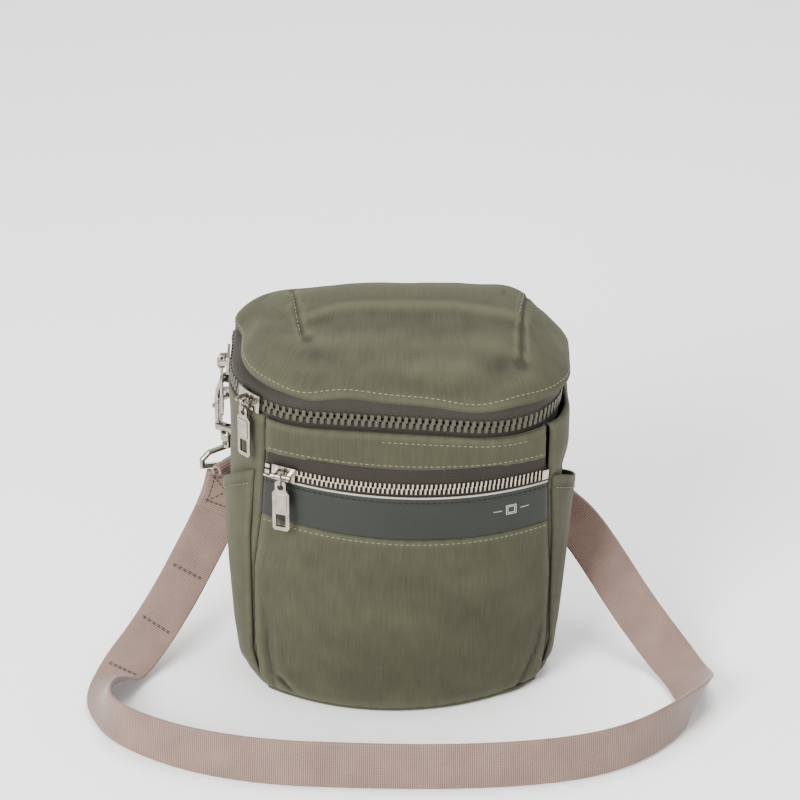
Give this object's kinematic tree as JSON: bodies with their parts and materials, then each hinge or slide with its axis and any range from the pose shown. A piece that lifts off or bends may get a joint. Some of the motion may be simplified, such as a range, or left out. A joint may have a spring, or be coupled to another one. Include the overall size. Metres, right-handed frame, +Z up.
{
  "type": "crossbody purse",
  "caption": "Boxy canvas crossbody purse with a zip-round lid, a zipped front pocket, side slip pockets and a webbing strap on snap hooks.",
  "frame": {"origin": "centre of the flat base, on the surface the bag stands on", "axes": "+X to the bag's right as seen from the front, +Y towards the back panel, +Z up"},
  "size_m": [0.3425, 0.1955, 0.2125],
  "materials": {
    "canvas": "washed olive cotton canvas, matt",
    "leather": "dark green-grey waxed leather, fine grain",
    "tape": "brown-grey knitted zip tape",
    "pocket_tape": "dark brown knitted zip tape",
    "moulded_teeth": "olive moulded zip teeth",
    "metal_teeth": "bright metal zip teeth",
    "nickel": "antique nickel plated zinc",
    "webbing": "taupe ribbed cotton webbing",
    "tab_webbing": "olive webbing tab",
    "lining": "plain woven polyester lining",
    "board": "sealed base board, not visible"
  },
  "bodies": {
    "bag": {"back_panel": "canvas", "base_panel": "canvas", "base_stiffener": "board", "compartment_front_wall": "canvas", "front_pocket_panel": "canvas", "front_upper_panel": "canvas", "hinge_binding": "tape", "inner_slip_pocket": "lining", "leather_band": "leather", "left_gusset": "canvas", "left_ring_tab": "tab_webbing", "left_slip_pocket": "canvas", "left_strap_fold": "webbing", "left_swivel_eye": "nickel", "main_lining": "lining", "main_tape_lower": "tape", "main_teeth_lower": "moulded_teeth", "main_zip_end_stops": "moulded_teeth", "pocket_tape_lower": "pocket_tape", "pocket_tape_upper": "pocket_tape", "pocket_teeth_lower": "metal_teeth", "pocket_teeth_upper": "metal_teeth", "pocket_zip_stops": "metal_teeth", "right_gusset": "canvas", "right_ring_tab": "tab_webbing", "right_slip_pocket": "canvas", "right_strap_fold": "webbing", "right_swivel_eye": "nickel", "strap_webbing": "webbing"},
    "lid": {"lid_panel": "canvas", "lid_lining": "lining", "lid_hinge_strip": "canvas", "main_tape_upper": "tape", "main_teeth_upper": "moulded_teeth"},
    "front_slider": {"front_slider_body": "nickel"},
    "front_link": {"front_pull_link": "nickel"},
    "front_tab": {"front_puller": "nickel"},
    "rear_slider": {"rear_slider_body": "nickel"},
    "rear_link": {"rear_pull_link": "nickel"},
    "rear_tab": {"rear_puller": "nickel"},
    "pocket_slider": {"pocket_slider_body": "nickel"},
    "pocket_link": {"pocket_pull_link": "nickel"},
    "pocket_tab": {"pocket_puller": "nickel"},
    "left_ring": {"left_d_ring": "nickel"},
    "right_ring": {"right_d_ring": "nickel"},
    "left_hook": {"left_snap_hook": "nickel"},
    "right_hook": {"right_snap_hook": "nickel"},
    "left_gate": {"left_hook_gate": "nickel"},
    "right_gate": {"right_hook_gate": "nickel"}
  },
  "joints": [
    {"name": "lid_hinge", "type": "hinge", "parent": "bag", "child": "lid", "pos_m": [0.00016, 0.04714, 0.17705], "axis": [-0.9977, 0, 0.0678], "range_deg": [0, 110]},
    {"name": "front_slider_travel", "type": "hinge", "parent": "bag", "child": "front_slider", "pos_m": [-0.03992, -0.004, 0.17721], "axis": [0.0678, -0.0498, 0.9965], "range_deg": [-23, 13]},
    {"name": "front_link_swing", "type": "hinge", "parent": "front_slider", "child": "front_link", "pos_m": [-0.07874, -0.03888, 0.178], "axis": [-0.6684, 0.7438, 0], "range_deg": [0, 140]},
    {"name": "front_tab_swing", "type": "hinge", "parent": "front_link", "child": "front_tab", "pos_m": [-0.07874, -0.03888, 0.173], "axis": [-0.7438, -0.6684, 0], "range_deg": [-25, 25]},
    {"name": "rear_slider_travel", "type": "slide", "parent": "bag", "child": "rear_slider", "axis": [0.0034, 0.9988, 0.0497], "range_m": [0, 0.0125]},
    {"name": "rear_link_swing", "type": "hinge", "parent": "rear_slider", "child": "rear_link", "pos_m": [-0.09199, 0.00449, 0.18076], "axis": [0, 1, 0], "range_deg": [0, 140]},
    {"name": "rear_tab_swing", "type": "hinge", "parent": "rear_link", "child": "rear_tab", "pos_m": [-0.09199, 0.00449, 0.17576], "axis": [-1, 0, 0], "range_deg": [-25, 25]},
    {"name": "pocket_slider_travel", "type": "hinge", "parent": "bag", "child": "pocket_slider", "pos_m": [-0.00371, 0.09283, 0.14499], "axis": [0.0678, -0.0498, 0.9965], "range_deg": [0, 45]},
    {"name": "pocket_link_swing", "type": "hinge", "parent": "pocket_slider", "child": "pocket_link", "pos_m": [-0.05975, -0.05338, 0.14163], "axis": [-0.9338, 0.3579, 0], "range_deg": [0, 140]},
    {"name": "pocket_tab_swing", "type": "hinge", "parent": "pocket_link", "child": "pocket_tab", "pos_m": [-0.05975, -0.05338, 0.13663], "axis": [-0.3579, -0.9338, 0], "range_deg": [-60, 60]},
    {"name": "left_ring_swing", "type": "hinge", "parent": "bag", "child": "left_ring", "pos_m": [-0.0857, 0.03557, 0.158], "axis": [-0.5736, -0.8192, 0], "range_deg": [-2, 2]},
    {"name": "right_ring_swing", "type": "hinge", "parent": "bag", "child": "right_ring", "pos_m": [0.0696, 0.04793, 0.158], "axis": [-0.9397, 0.342, 0], "range_deg": [-2, 2]},
    {"name": "left_hook_swivel", "type": "hinge", "parent": "bag", "child": "left_hook", "pos_m": [-0.09122, 0.03944, 0.12], "axis": [0, 0, 1], "range_deg": [-6, 6]},
    {"name": "right_hook_swivel", "type": "hinge", "parent": "bag", "child": "right_hook", "pos_m": [0.0719, 0.05427, 0.12], "axis": [0, 0, 1], "range_deg": [-6, 6]},
    {"name": "left_gate_press", "type": "hinge", "parent": "left_hook", "child": "left_gate", "pos_m": [-0.09622, 0.04294, 0.12511], "axis": [0.5736, 0.8192, 0], "range_deg": [0, 18], "stiffness_Nm_per_rad": 0.03, "springref_deg": -11.46},
    {"name": "right_gate_press", "type": "hinge", "parent": "right_hook", "child": "right_gate", "pos_m": [0.07399, 0.06, 0.12511], "axis": [0.9397, -0.342, 0], "range_deg": [0, 18], "stiffness_Nm_per_rad": 0.03, "springref_deg": -11.46}
  ]
}
